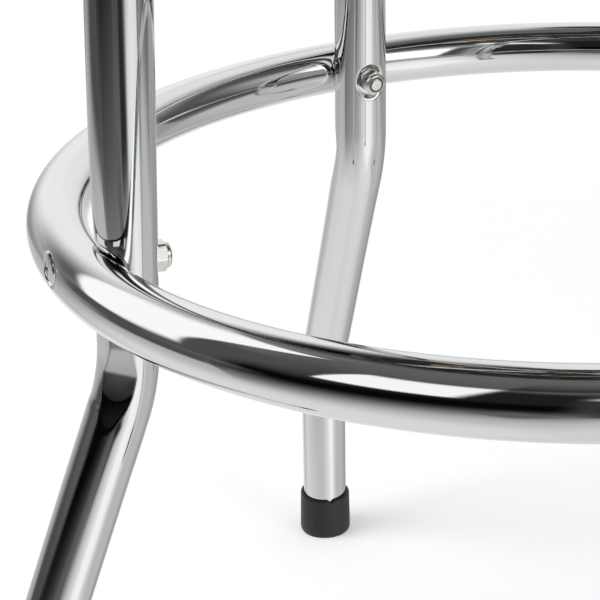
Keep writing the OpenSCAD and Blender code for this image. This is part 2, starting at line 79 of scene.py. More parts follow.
# Camera
def make_camera():
    """The camera that a fit to the photograph's ring and legs gives, turned into the part's frame."""
    pitch, yaw, roll = 0.3942, -0.1608, -0.0477
    turn = math.pi - 3.7165
    # Distance and height in ring radii, focal length and picture in pixels, film in millimetres
    back, high, focal, picture, film = 3.381, 1.1596, 1806.2557, 600, 36
    ahead = Vector((math.sin(yaw) * math.cos(pitch), math.cos(yaw) * math.cos(pitch), -math.sin(pitch)))
    right = Vector((math.cos(yaw), -math.sin(yaw), 0))
    up = right.cross(ahead)
    across = right * math.cos(roll) + up * math.sin(roll)
    upright = -right * math.sin(roll) + up * math.cos(roll)
    spin = Matrix.Rotation(turn, 3, "Z")
    data = bpy.data.cameras.new("camera")
    data.sensor_width = film
    data.lens = focal * film / picture
    data.clip_start, data.clip_end = 0.01, 20
    cam = bpy.data.objects.new("camera", data)
    scene.collection.objects.link(cam)
    place = spin @ (Vector((0, -back, high)) * RING_R * MM) + Vector((0, 0, RING_Z * MM))
    m = Matrix((spin @ across, spin @ upright, -(spin @ ahead))).transposed().to_4x4()
    m.translation = place
    cam.matrix_world = m
    scene.camera = cam


make_camera()


# Mesh helpers
def add_mesh(name, verts, faces, sharp=None):
    """A new object with smooth faces, hard only at edges over an angle in degrees."""
    me = bpy.data.meshes.new(name)
    me.from_pydata([tuple(v) for v in verts], [], [tuple(f) for f in faces])
    me.update()
    me.polygons.foreach_set("use_smooth", [True] * len(me.polygons))
    if sharp is not None:
        me.set_sharp_from_angle(angle=math.radians(sharp))
    ob = bpy.data.objects.new(name, me)
    scene.collection.objects.link(ob)
    return ob


def grid_faces(rows, cols, wrap_rows=False, wrap_cols=True, first=0, flip=False):
    """Quads of a grid of points, rows by cols."""
    out = []
    for i in range(rows if wrap_rows else rows - 1):
        a, b = i * cols, ((i + 1) % rows) * cols
        for j in range(cols if wrap_cols else cols - 1):
            k = (j + 1) % cols
            q = (first + a + j, first + b + j, first + b + k, first + a + k)
            out.append(q[::-1] if flip else q)
    return out


def turned(rows, around):
    """Faces of rows of points round an axis, with a fan at each end. The fans' points come last."""
    c, last = rows * around, (rows - 1) * around
    pairs = [(j, (j + 1) % around) for j in range(around)]
    return grid_faces(rows, around) + [(c, i, j) for i, j in pairs] + [(c + 1, last + j, last + i) for i, j in pairs]


def outwards(ob):
    """Turns an object's faces so that they all look out."""
    bm = bmesh.new()
    bm.from_mesh(ob.data)
    bmesh.ops.recalc_face_normals(bm, faces=bm.faces)
    bm.to_mesh(ob.data)
    bm.free()


def circle(count):
    """Angles evenly round a turn."""
    return np.arange(count) * 2 * math.pi / count


def quarter(v, n):
    """Points given in millimetres in leg 1's plane, turned to leg n's and put in metres."""
    a = math.pi / 2 * (n - 1)
    x, y, z = np.moveaxis(v, -1, 0)
    return np.stack([x * math.cos(a) - y * math.sin(a), x * math.sin(a) + y * math.cos(a), z], -1) * MM


def smin(a, b, k):
    """The smaller of two values, with a round of width k between them."""
    h = np.clip(0.5 + 0.5 * (b - a) / k, 0, 1)
    return b + (a - b) * h - k * h * (1 - h)


def smax(a, b, k):
    return -smin(-a, -b, k)


def ramp(x, a, b):
    """Rises smoothly from 0 at a to 1 at b."""
    t = np.clip((x - a) / (b - a), 0, 1)
    return t * t * (3 - 2 * t)


def bell(x, mid, lo, hi=None):
    """A bell that is lo wide before its middle, and hi wide after it where that differs."""
    return np.exp(-(((x - mid) / np.where(x < mid, lo, hi or lo)) ** 2))


# Node helpers
class Nodes:
    """A node tree, with short calls to make and join its nodes."""

    def __init__(self, tree):
        self.t = tree
        self.t.nodes.clear()

    def node(self, kind, inputs=None, **props):
        n = self.t.nodes.new("ShaderNode" + kind)
        for k, v in props.items():
            setattr(n, k, v)
        for k, v in (inputs or {}).items():
            if hasattr(v, "is_output"):
                self.t.links.new(v, n.inputs[k])
            else:
                n.inputs[k].default_value = v
        return n

    def math(self, op, a, b=0.0, c=None):
        ins = {0: a, 1: b}
        if c is not None:
            ins[2] = c
        return self.node("Math", ins, operation=op).outputs[0]


class Shader(Nodes):
    """A material's nodes."""

    def __init__(self, name):
        self.mat = bpy.data.materials.new(name)
        self.mat.use_nodes = True
        super().__init__(self.mat.node_tree)
        self.out = self.node("OutputMaterial").inputs["Surface"]
        self.coord = self.node("TexCoord").outputs["Object"]

    def noise(self, scale, detail=4.0, rough=0.5, stretch=None):
        v = self.coord
        if stretch:
            v = self.node("Mapping", {"Vector": v, "Scale": stretch}).outputs[0]
        return self.node("TexNoise", {"Vector": v, "Scale": scale, "Detail": detail, "Roughness": rough}).outputs["Fac"]

    def steps(self, fac, stops):
        """A colour ramp: stops of (place, grey or colour)."""
        n = self.node("ValToRGB", {"Fac": fac})
        e = n.color_ramp.elements
        while len(e) < len(stops):
            e.new(0.5)
        for el, (p, c) in zip(e, stops):
            el.position = p
            el.color = (*c, 1) if isinstance(c, tuple) else (c, c, c, 1)
        return n.outputs["Color"]

    def bump(self, height, strength, dist, normal=None):
        ins = {"Height": height, "Strength": strength, "Distance": dist}
        if normal is not None:
            ins["Normal"] = normal
        return self.node("Bump", ins).outputs[0]

    def shows(self, node):
        """The material, with a node's first output as its surface."""
        self.t.links.new(node.outputs[0], self.out)
        return self.mat

    def surface(self, **inputs):
        return self.shows(self.node("BsdfPrincipled", {k.replace("_", " "): v for k, v in inputs.items()}))


def chrome(name, tint=(0.663, 0.667, 0.670), rough=0.035):
    """Bright chrome plating: mirror-smooth, with faint haze, fine wipe marks and a few pits."""
    s = Shader(name)
    haze = s.noise(9, 5, 0.6)
    fine = s.noise(160, 3, 0.6, stretch=(1, 1, 0.25))
    r = s.math("ADD", s.math("MULTIPLY", haze, 0.035), s.math("MULTIPLY", fine, 0.03))
    r = s.math("ADD", r, rough - 0.03)
    cell = s.node("TexVoronoi", {"Vector": s.coord, "Scale": 95.0}, feature="F1")
    pick = s.math("GREATER_THAN", s.node("SeparateColor", {"Color": cell.outputs["Color"]}).outputs[0], 0.94)
    near = s.math("LESS_THAN", cell.outputs["Distance"], 0.045)
    pit = s.math("MULTIPLY", pick, near)
    colour = s.node("Mix", {"Factor": pit, "A": (*tint, 1), "B": (0.10, 0.10, 0.11, 1)}, data_type="RGBA")
    wave = s.noise(14, 2, 0.5)
    grain = s.noise(420, 2, 0.5)
    n = s.bump(wave, 0.10, 0.0006)
    n = s.bump(grain, 0.02, 0.00008, n)
    n = s.bump(s.math("SUBTRACT", 1.0, pit), 0.4, 0.0001, n)
    return s.surface(Base_Color=colour.outputs["Result"], Metallic=1.0, Roughness=r, Normal=n)


def zinc(name):
    """Bright zinc or nickel on small steel pieces, slightly warm and uneven."""
    tint, rough = (0.72, 0.70, 0.655), 0.16
    s = Shader(name)
    patch = s.noise(220, 4, 0.6)
    colour = s.steps(patch, [(0.3, tuple(c * 0.78 for c in tint)), (0.7, tint)])
    r = s.math("ADD", s.math("MULTIPLY", s.noise(700, 3, 0.6), 0.22), rough - 0.08)
    return s.surface(Base_Color=colour, Metallic=1.0, Roughness=r, Normal=s.bump(s.noise(1500, 3, 0.6), 0.15, 0.0001))


def rubber(name):
    """Moulded black rubber, faintly dusty."""
    grey = 0.0085
    s = Shader(name)
    dust = s.noise(55, 5, 0.65)
    colour = s.steps(dust, [(0.35, grey * 0.8), (0.75, grey * 1.7)])
    r = s.math("ADD", s.math("MULTIPLY", s.noise(300, 3, 0.6), 0.25), 0.38)
    n = s.bump(s.noise(900, 3, 0.6), 0.25, 0.0002)
    return s.surface(Base_Color=colour, Roughness=r, Normal=n)


def plastic(name, colour):
    """Nylon, slightly waxy."""
    s = Shader(name)
    c = s.steps(s.noise(180, 3, 0.5), [(0.3, tuple(v * 0.85 for v in colour)), (0.7, colour)])
    return s.surface(Base_Color=c, Roughness=0.42, Normal=s.bump(s.noise(900, 2, 0.5), 0.2, 0.0001))


def paint(name):
    """Black powder coat with its orange peel."""
    colour = (0.016, 0.017, 0.019)
    s = Shader(name)
    c = s.steps(s.noise(60, 4, 0.6), [(0.3, tuple(v * 0.9 for v in colour)), (0.8, tuple(v * 1.5 for v in colour))])
    peel = s.noise(1100, 2, 0.5)
    return s.surface(Base_Color=c, Roughness=0.36, Normal=s.bump(peel, 0.3, 0.00025))


def plywood(name):
    """Birch plywood: grain on its faces and layers at its edge."""
    s = Shader(name)
    grain = s.noise(30, 6, 0.65, stretch=(1, 12, 1))
    fine = s.noise(160, 3, 0.6, stretch=(0.5, 10, 1))
    face = s.steps(s.math("ADD", s.math("MULTIPLY", grain, 0.7), s.math("MULTIPLY", fine, 0.3)),
                   [(0.3, (0.36, 0.22, 0.11)), (0.7, (0.60, 0.43, 0.25))])
    z = s.node("SeparateXYZ", {"Vector": s.coord}).outputs[2]
    ply = 0.0019
    layer = s.math("PINGPONG", z, ply)
    edge = s.math("MULTIPLY_ADD", s.math("DIVIDE", layer, ply), 0.35, 0.72)
    c = s.node("Mix", {"Factor": 1.0, "A": face, "B": edge}, data_type="RGBA", blend_type="MULTIPLY").outputs["Result"]
    return s.surface(Base_Color=c, Roughness=0.62, Normal=s.bump(grain, 0.3, 0.0003))


def vinyl(name):
    """Black upholstery vinyl with a pressed leather grain."""
    s = Shader(name)
    big = s.node("TexVoronoi", {"Vector": s.coord, "Scale": 620.0}, feature="DISTANCE_TO_EDGE").outputs["Distance"]
    small = s.node("TexVoronoi", {"Vector": s.coord, "Scale": 1500.0}, feature="F1").outputs["Distance"]
    h = s.math("ADD", s.math("MINIMUM", s.math("MULTIPLY", big, 3.0), 0.6), s.math("MULTIPLY", small, 0.25))
    shade = s.noise(12, 4, 0.6)
    c = s.steps(shade, [(0.3, (0.011, 0.011, 0.012)), (0.75, (0.022, 0.022, 0.024))])
    r = s.math("ADD", s.math("MULTIPLY", s.noise(45, 4, 0.6), 0.18), 0.36)
    n = s.bump(s.noise(35, 3, 0.5), 0.25, 0.0015)
    n = s.bump(h, 0.5, 0.00025, n)
    return s.surface(Base_Color=c, Roughness=r, Normal=n)


def cloth(name):
    """Black non-woven dust cloth with short fibres."""
    s = Shader(name)
    a = s.noise(1400, 2, 0.7, stretch=(1, 0.2, 1))
    b = s.noise(1400, 2, 0.7, stretch=(0.2, 1, 1))
    f = s.math("MAXIMUM", a, b)
    c = s.steps(f, [(0.45, (0.010, 0.010, 0.011)), (0.75, (0.045, 0.045, 0.048))])
    return s.surface(Base_Color=c, Roughness=0.9, Normal=s.bump(f, 0.5, 0.0003))


def foam(name):
    """Cream cut foam with open cells, and painted shade in the grooves between them."""
    s = Shader(name)
    cells = s.node("TexVoronoi", {"Vector": s.coord, "Scale": 900.0}, feature="DISTANCE_TO_EDGE").outputs["Distance"]
    tone = s.steps(s.noise(18, 3, 0.5), [(0.3, (0.70, 0.62, 0.42)), (0.7, (0.78, 0.72, 0.52))])
    # Painted shade: colour darkened along the low grooves between the cells, where the pores would lie in shade
    pore_shade = s.steps(cells, [(0.0, 0.62), (0.2, 1.0)])
    c = s.node("Mix", {"Factor": 1.0, "A": tone, "B": pore_shade}, data_type="RGBA", blend_type="MULTIPLY").outputs["Result"]
    return s.surface(Base_Color=c, Roughness=0.95, Normal=s.bump(cells, 0.6, 0.0004))


M = {
    "chrome_tube": chrome("chrome_tube"),
    "black_rubber": rubber("black_rubber"),
    "zinc_steel": zinc("zinc_steel"),
    "nylon": plastic("nylon", (0.10, 0.11, 0.125)),
    "cage_nylon": plastic("cage_nylon", (0.55, 0.52, 0.43)),
    "bearing_steel": chrome("bearing_steel", (0.62, 0.625, 0.63), 0.06),
    "plate_paint": paint("plate_paint"),
    "plywood": plywood("plywood"),
    "black_vinyl": vinyl("black_vinyl"),
    "dust_cloth": cloth("dust_cloth"),
    "foam": foam("foam"),
}
for part in frame["record"]["subparts"]:
    ob = frame["nodes"][part["node"]]
    ob.data.materials.clear()
    ob.data.materials.append(M[part["material_slot"]])


def dress(ob, slot, body, *nodes):
    """Gives a new piece its material and slot, the body that it rides on and the nodes that it stands for."""
    ob.data.materials.append(M[slot])
    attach(ob, body)
    if nodes:
        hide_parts(*nodes)
    return ob


# Legs
# The flats at the upper knee: which way they look, how deep they are along the tube, and how far and over what
# angle their ends bow
FLAT_WAY = 49.0
FLAT_DEEP = ((-46.0, -0.4), (-38.0, 0.6), (-17.5, 0.65), (-6.3, 2.15), (6.2, 1.8), (18.5, -0.1))
FLAT_BOW, FLAT_WIDE = 5.0, 33.0


def leg_path():
    """The leg's middle line in its own plane as rows of (distance out, height, way out, way up, length so far)."""
    end_z, straight_step, bend_step = 6.0, 4, 1.5
    line = [(LEG_END_R, BEAM_Z), (LEG_TOP_R, BEAM_Z), (KNEE_HIGH_R, KNEE_HIGH_Z), (KNEE_LOW_R, KNEE_LOW_Z),
            (FOOT_R - end_z * math.tan(LEAN), end_z)]
    bends = [0, TOP_BEND_R, KNEE_BEND_R, KNEE_BEND_R, 0]
    p = [Vector(q) for q in line]
    rows, length = [], 0.0

    def straight(a, b):
        nonlocal length
        way, n = (b - a).normalized(), max(2, int((b - a).length / straight_step))
        for i in range(n):
            rows.append((*(a + (b - a) * (i / n)), way.x, way.y, length + (b - a).length * i / n))
        length += (b - a).length

    at = p[0]
    for i in range(1, len(p) - 1):
        u, v = (p[i] - p[i - 1]).normalized(), (p[i + 1] - p[i]).normalized()
        ang = math.acos(max(-1, min(1, u.dot(v))))
        side = 1 if u.x * v.y - u.y * v.x > 0 else -1
        cut = bends[i] * math.tan(ang / 2)
        start = p[i] - u * cut
        straight(at, start)
        centre = start + Vector((-u.y, u.x)) * bends[i] * side
        n = max(6, int(bends[i] * ang / bend_step))
        for k in range(n):
            w = ang * k / n * side
            c, s = math.cos(w), math.sin(w)
            arm = start - centre
            q = centre + Vector((arm.x * c - arm.y * s, arm.x * s + arm.y * c))
            rows.append((q.x, q.y, u.x * c - u.y * s, u.x * s + u.y * c, length + bends[i] * ang * k / n))
        length += bends[i] * ang
        at = p[i] + v * cut
    straight(at, p[-1])
    rows.append((*p[-1], *(p[-1] - p[-2]).normalized(), length))
    return np.array(rows)


def length_at(rows, z):
    """The length along the tube where it reaches a height."""
    return np.interp(-z, -rows[:, 1], rows[:, 4])


def finer(rows, high, low, step):
    """Puts more stations between two heights, a step apart."""
    s = rows[:, 4]
    start, stop = length_at(rows, high), length_at(rows, low)
    at = np.sort(np.concatenate([s[(s < start) | (s > stop)], np.arange(start, stop, step)]))
    out = np.stack([np.interp(at, s, rows[:, i]) for i in range(5)], 1)
    out[:, 2:4] /= np.hypot(out[:, 2:3], out[:, 3:4])
    return out


def leg_profile(n, rows, around=160):
    """Points of the leg in its own plane: x out, y across, z up, with what the presses did to the tube."""
    a = circle(around)
    out_way = np.stack([-rows[:, 3], rows[:, 2]], 1)
    ca, sa = np.cos(a)[None], np.sin(a)[None]
    # Angle from the way out of the stool, in degrees, and height and length along the tube
    away = np.degrees(np.arctan2(sa, ca))
    z0, s0 = rows[:, 1][:, None], rows[:, 4][:, None]
    knee, low_knee = length_at(rows, KNEE_HIGH_Z), length_at(rows, KNEE_LOW_Z)
    # Oval from the pressing: wider across, thinner on its outer side
    wider, thinner = 0.07, 0.065
    oval = bell(z0, 272.0, 48.0, 75.0)
    # Way out of the stool and way across it, square to the tube's line
    h = TUBE_R * ca * (1 - thinner * oval * ramp(ca, 0.0, 0.8))
    w = TUBE_R * sa * (1 + wider * oval)
    # Distance along the leg from where the ring crosses it, positive upwards
    u = ((rows[:, 1] - RING_Z) * math.cos(LEAN) - (rows[:, 0] - LEG_R) * math.sin(LEAN))[:, None]
    # The saddle is a bowl that takes the ring with a little room, and opens steeply past it
    ring_x = (RING_R - LEG_R) * math.cos(LEAN)
    grip, mouth_slope = TUBE_R + 0.12, 3.2
    bowl = ring_x - w * w / (2 * RING_R) - np.sqrt(np.clip(grip**2 - u * u, 0, None))
    bowl = bowl + mouth_slope * np.clip(np.abs(u) - grip * 0.985, 0, None)
    # The press first draws the outer side in gently, then sinks the bowl into it
    drawn, drawn_long, bowl_long, bowl_round = 1.2, 24.0, 42, 2.4
    h = h - drawn * bell(u, 0, drawn_long) * ramp(ca, -0.1, 0.9)
    h = np.where(np.abs(u) < bowl_long, smin(h, bowl, bowl_round), h)
    # Each knee is flat on its inside, with a step where the die ended and a ripple beside it
    for k, side, deep in ((knee, 1, 0.4), (low_knee, -1, 0.6)):
        d = s0 - k
        turn = np.abs(away) if side > 0 else 180 - np.abs(away)
        late = 0.045 * turn
        flat = ramp(d, -24, -9) * ramp(-d, late - 14, late - 8) * ramp(-turn, -84, -58)
        h = h - side * deep * flat * np.maximum(np.abs(ca), 0.35)
        w = w - np.sign(sa) * deep * (0.5 * flat * bell(turn, 66, 16) + 0.32 * bell(d, 13, 4.5) * bell(turn, 72, 7.5))
        h = h + side * deep * 0.12 * bell(d, 13.5, 5) * bell(turn, 0, 46)
    # The die left two flats beside the upper knee's inside, each running out in a tongue below
    d = s0 - knee
    late = d + FLAT_BOW * ((np.abs(away) - FLAT_WAY) / FLAT_WIDE) ** 2 * ramp(d, -6.5, 0.5)
    sink = np.interp(late, *zip(*FLAT_DEEP))
    lean = math.radians(FLAT_WAY)
    reach = h * math.cos(lean) + np.abs(w) * math.sin(lean)
    cut = (reach - smin(reach, TUBE_R - sink, 0.3)) * ramp(d, -46, -40) * ramp(-d, -20, -18)
    h, w = h - cut * math.cos(lean), w - np.sign(sa) * cut * math.sin(lean)
    # Small clamp marks on the back of the upper knee
    mark_deep, mark_wide = 0.22, 3.4
    for spot, way in ((-163.0, 8.5), (139.0, 7.0)):
        mark = mark_deep * bell(away, spot, mark_wide) * bell(d, way, 5.0, 3.5)
        h, w = h - mark * ca, w - mark * sa
    # Where a lock nut is drawn up, it pulls a round seat into the tube
    seat_r, rim_slope, rim_bow = 6.7, 0.45, 0.2
    ub = LIFT[n] - (RING_R - LEG_R) * math.sin(LEAN) - 0.5
    wb = SLIDE[n] + NUT_X * math.tan(SKEW[n])
    rho = np.hypot(u - ub, w - wb)
    rise = np.clip(rho - seat_r, 0, None)
    seat = -TUBE_R + SEAT_IN - (w - wb) * math.tan(SKEW[n]) - rim_slope * rise - rim_bow * rise**2
    h = np.where((ca < 0) & (rho < 2 * seat_r), smax(h, seat, 1.1), h)
    x, z = (rows[:, i][:, None] + out_way[:, i][:, None] * h for i in (0, 1))
    return np.stack([x, w, z], 2)


def make_leg(n, rows):
    pts = leg_profile(n, rows)
    rn, cn = pts.shape[:2]
    faces = grid_faces(rn, cn)
    # The open inner end shows the tube's wall
    a = circle(cn)
    x0, z0 = rows[0, :2]
    bore, deep = TUBE_R - TUBE_WALL, 40.0
    inside = [np.stack([np.full(cn, x0 + d), r * np.sin(a), z0 + r * np.cos(a)], 1)
              for d, r in ((0.0, bore), (deep, bore), (deep, 0.01))]
    base = rn * cn
    faces += [(j, (j + 1) % cn, base + (j + 1) % cn, base + j) for j in range(cn)]
    faces += grid_faces(3, cn, first=base, flip=True)
    ob = add_mesh(f"leg_tube_{n}", quarter(np.concatenate([pts.reshape(-1, 3), *inside]), n), faces, sharp=50)
    dress(ob, "chrome_tube", "root", f"leg_{n}")


path = leg_path()
path = finer(path, RING_Z + 34, KNEE_HIGH_Z - 30, 0.6)
path = finer(path, KNEE_LOW_Z + 30, KNEE_LOW_Z - 26, 0.9)
for n in range(1, 5):
    make_leg(n, path)


# Foot ring
def make_ring(around=168):
    """The ring's tube, with a dimple under each bolt's head. Its steps are finest near the bolts."""
    near, fine, coarse = 13.0, 0.3, 2.2
    steps = [0.0]
    while steps[-1] < math.pi / 2 - 1e-6:
        a = steps[-1]
        steps.append(a + (fine if min(a, math.pi / 2 - a) < near / RING_R else coarse) / RING_R)
    steps = np.array(steps[:-1]) * (math.pi / 2) / steps[-1]
    alpha = np.concatenate([steps + k * math.pi / 2 for k in range(4)])
    A, B = np.meshgrid(alpha, circle(around), indexing="ij")
    out, up = TUBE_R * np.cos(B), TUBE_R * np.sin(B)
    # Place along the ring from the nearest leg, and the way out along its bolt
    leg = np.round(A / (math.pi / 2))
    q = A - leg * math.pi / 2
    x = (RING_R + out) * np.cos(q) - RING_R
    y = (RING_R + out) * np.sin(q)
    lift, slide, skew, tip = (np.array(v[1:])[leg.astype(int) % 4] for v in (LIFT, SLIDE, SKEW, HEAD_TIP))
    z = up - lift
    level_x = x * math.cos(LEAN) + z * math.sin(LEAN)
    bz = -x * math.sin(LEAN) + z * math.cos(LEAN)
    bx = level_x * np.cos(skew) + (y - slide) * np.sin(skew) - HEAD_PIVOT
    by = -level_x * np.sin(skew) + (y - slide) * np.cos(skew)
    hx, hz = bx * np.cos(tip) + bz * np.sin(tip) + HEAD_PIVOT, bz * np.cos(tip) - bx * np.sin(tip)
    # The head pressed a flat floor, whose rim rises steeply past the head's edge
    under, rim_r, rim_slope, end_r = 0.3, HEAD_R + 0.2, 2.4, 16
    rho = np.hypot(by, hz)
    floor = HEAD_X - under + np.clip(rho - rim_r, 0, None) * rim_slope
    sunk = np.where((rho < end_r) & (hx > 0), smin(hx, floor, 0.35), hx) - hx
    x = x + sunk * np.cos(skew) * np.cos(LEAN + tip)
    z = z + sunk * np.cos(skew) * np.sin(LEAN + tip)
    X, Y, Z = RING_R + x, y + sunk * np.sin(skew), RING_Z + lift + z
    base = leg * math.pi / 2
    V = np.stack([X * np.cos(base) - Y * np.sin(base), X * np.sin(base) + Y * np.cos(base), Z], 2) * MM
    ob = add_mesh("foot_ring_tube", V.reshape(-1, 3), grid_faces(len(alpha), around, wrap_rows=True, flip=True))
    dress(ob, "chrome_tube", "root", "foot_ring")


make_ring()


# Ring bolts and their lock nuts
def to_bolt(n, p):
    """Points along a ring bolt's own axis, turned into the part's frame: x outwards, from the middle of the ring."""
    p = np.asarray(p, float)
    c, s = math.cos(LEAN), math.sin(LEAN)
    # The head tips over on its shank
    bent = HEAD_TIP[n] * ramp(p[..., 0], HEAD_PIVOT - 5, HEAD_PIVOT - 1)
    off = p[..., 0] - HEAD_PIVOT
    p = np.stack([HEAD_PIVOT + off * np.cos(bent) - p[..., 2] * np.sin(bent), p[..., 1],
                  off * np.sin(bent) + p[..., 2] * np.cos(bent)], -1)
    along = p[..., 0] * math.cos(SKEW[n]) - p[..., 1] * math.sin(SKEW[n])
    y = SLIDE[n] + p[..., 0] * math.sin(SKEW[n]) + p[..., 1] * math.cos(SKEW[n])
    x = RING_R + along * c - p[..., 2] * s
    z = RING_Z + LIFT[n] + along * s + p[..., 2] * c
    return quarter(np.stack([x, y, z], -1), n)


def join(parts):
    """One list of points and one of faces from several."""
    verts, faces, base = [], [], 0
    for v, f in parts:
        verts.append(np.asarray(v).reshape(-1, 3))
        faces += [tuple(i + base for i in q) for q in f]
        base += len(verts[-1])
    return np.concatenate(verts), faces


def spin_x(line, around):
    """Points of a line of (place along x, radius) turned round the x axis."""
    a = circle(around)
    line = np.asarray(line, float)
    return np.stack([np.repeat(line[:, :1], around, 1), line[:, 1:] * np.cos(a), line[:, 1:] * np.sin(a)], 2)


def bolt_mesh(turn):
    """A truss-head bolt along x, with a cross recess in its head."""
    m, rim, high = 144, 1.45, 2.5
    dome = (HEAD_R**2 + (high - rim) ** 2) / (2 * (high - rim))
    q = np.concatenate([np.linspace(0.12, 3.7, 36), np.linspace(3.9, HEAD_R - 0.25, 9), [HEAD_R - 0.08]])
    Q, A = np.meshgrid(q, circle(m), indexing="ij")
    x = HEAD_X + high - dome + np.sqrt(dome**2 - Q**2)
    y, z = Q * np.cos(A), Q * np.sin(A)
    # The recess's two arms, deeper towards the middle, and the pocket where they cross
    arm_half, arm_long, pocket_half = 0.85, 3.1, 1.5
    arms = np.clip((arm_half - np.minimum(np.abs(y), np.abs(z))) / 0.22, 0, 1) * np.clip((arm_long - Q) / 0.3, 0, 1)
    arms = arms * (1.4 + 1.1 * np.clip(1 - Q / 3.0, 0, 1))
    pocket = np.clip((pocket_half - np.abs(y) - np.abs(z)) / 0.4, 0, 1) * 2.0
    x = x - np.maximum(arms, pocket)
    c, s = math.cos(turn), math.sin(turn)
    head = np.stack([x, y * c - z * s, y * s + z * c], 2)
    # The neck is thin, so that it keeps out of sight where the tube curves away from under the head
    end = NUT_X - BOLT_END
    line = [(HEAD_X + rim - 0.2, HEAD_R), (HEAD_X + 0.25, HEAD_R), (HEAD_X, HEAD_R - 0.25), (HEAD_X, NECK_R),
            (HEAD_X - 2.6, NECK_R), (HEAD_X - 2.9, SHANK_R), (end + 0.65, SHANK_R), (end + 0.3, 3.0), (end, 2.55)]
    pts = np.concatenate([head, spin_x(line, m)])
    ends = [[head[0, :, 0].mean(), 0, 0], [end - 0.03, 0, 0]]
    return np.concatenate([pts.reshape(-1, 3), ends]), turned(len(pts), m)


def nut_mesh(turn):
    """A lock nut: a chamfered hexagon with a rounded collar, and a threaded bore."""
    m, flat, corner = 120, NUT_AF / 2, NUT_AF / math.sqrt(3)
    thread_r, thread_deep, pitch = 3.22, 0.04, 1.0
    a = circle(m)
    hexa = flat / np.cos((a + math.pi / 6) % (math.pi / 3) - math.pi / 6)
    rows = [(d, np.minimum(hexa, flat + 0.1 + 1.3 * d)) for d in (0, 0.1, 0.25, 0.45)]
    for d in (0.7, 0.62, 0.52, 0.42, 0.33, 0.24, 0.16, 0.09, 0.04, 0):
        rows.append((NUT_BODY - d, np.minimum(np.minimum(hexa, corner - 0.12), flat - 0.1 + 1.6 * d)))
    for d, r in ((0.06, 5.22), (0.18, 5.08), (0.5, 5.02), (1.0, 4.98), (1.35, 4.88), (1.6, 4.68), (1.78, 4.42),
                 (1.88, 4.12), (1.86, 3.98), (1.72, 3.90), (1.2, 3.88), (0.3, 3.88), (0.2, 3.6), (0.1, 3.28)):
        rows.append((NUT_BODY + d, np.full(m, r)))
    for d in np.arange(NUT_BODY, 0.05, -0.25):
        rows.append((d, np.full(m, thread_r + thread_deep * math.sin(2 * math.pi * d / pitch))))
    rows.append((0, np.full(m, 3.4)))
    pts = np.stack([np.stack([np.full(m, NUT_X - d), r * np.cos(a + turn), r * np.sin(a + turn)], 1) for d, r in rows])
    return pts, grid_faces(len(rows), m, wrap_rows=True, flip=True)


def insert_mesh():
    """The nylon ring in a lock nut's collar, pressed out a little by the bolt."""
    m = 64
    line = [(0.35, 3.2), (1.4, 3.2), (1.62, 3.26), (1.7, 3.42), (1.68, 3.65), (1.6, 3.82), (1.4, 3.85), (0.35, 3.85)]
    return spin_x([(NUT_X - NUT_BODY - d, r) for d, r in line], m), grid_faces(len(line), m, wrap_rows=True, flip=True)


def make_fasteners():
    """The four bolts, nuts and nylon rings, each bolt and nut stopped at its own turn."""
    bolt_turn, nut_turn = (None, 0.7, 0.4, 0.25, 1.1), (None, 0.3, 0.21, 0.5, 0.9)
    for name, mesh, slot, node in (
            ("ring_bolt_set", lambda n: bolt_mesh(bolt_turn[n]), "zinc_steel", "ring_bolts"),
            ("ring_nut_set", lambda n: nut_mesh(nut_turn[n]), "zinc_steel", "ring_nuts"),
            ("ring_nut_nylon", lambda n: insert_mesh(), "nylon", "ring_nut_inserts")):
        parts = []
        for n in range(1, 5):
            v, f = mesh(n)
            parts.append((to_bolt(n, v), f))
        ob = add_mesh(name, *join(parts), sharp=24)
        # The chrome would mirror a bolt's head as a second one
        ob.visible_glossy = node != "ring_bolts"
        outwards(ob)
        dress(ob, slot, "root", node)


make_fasteners()


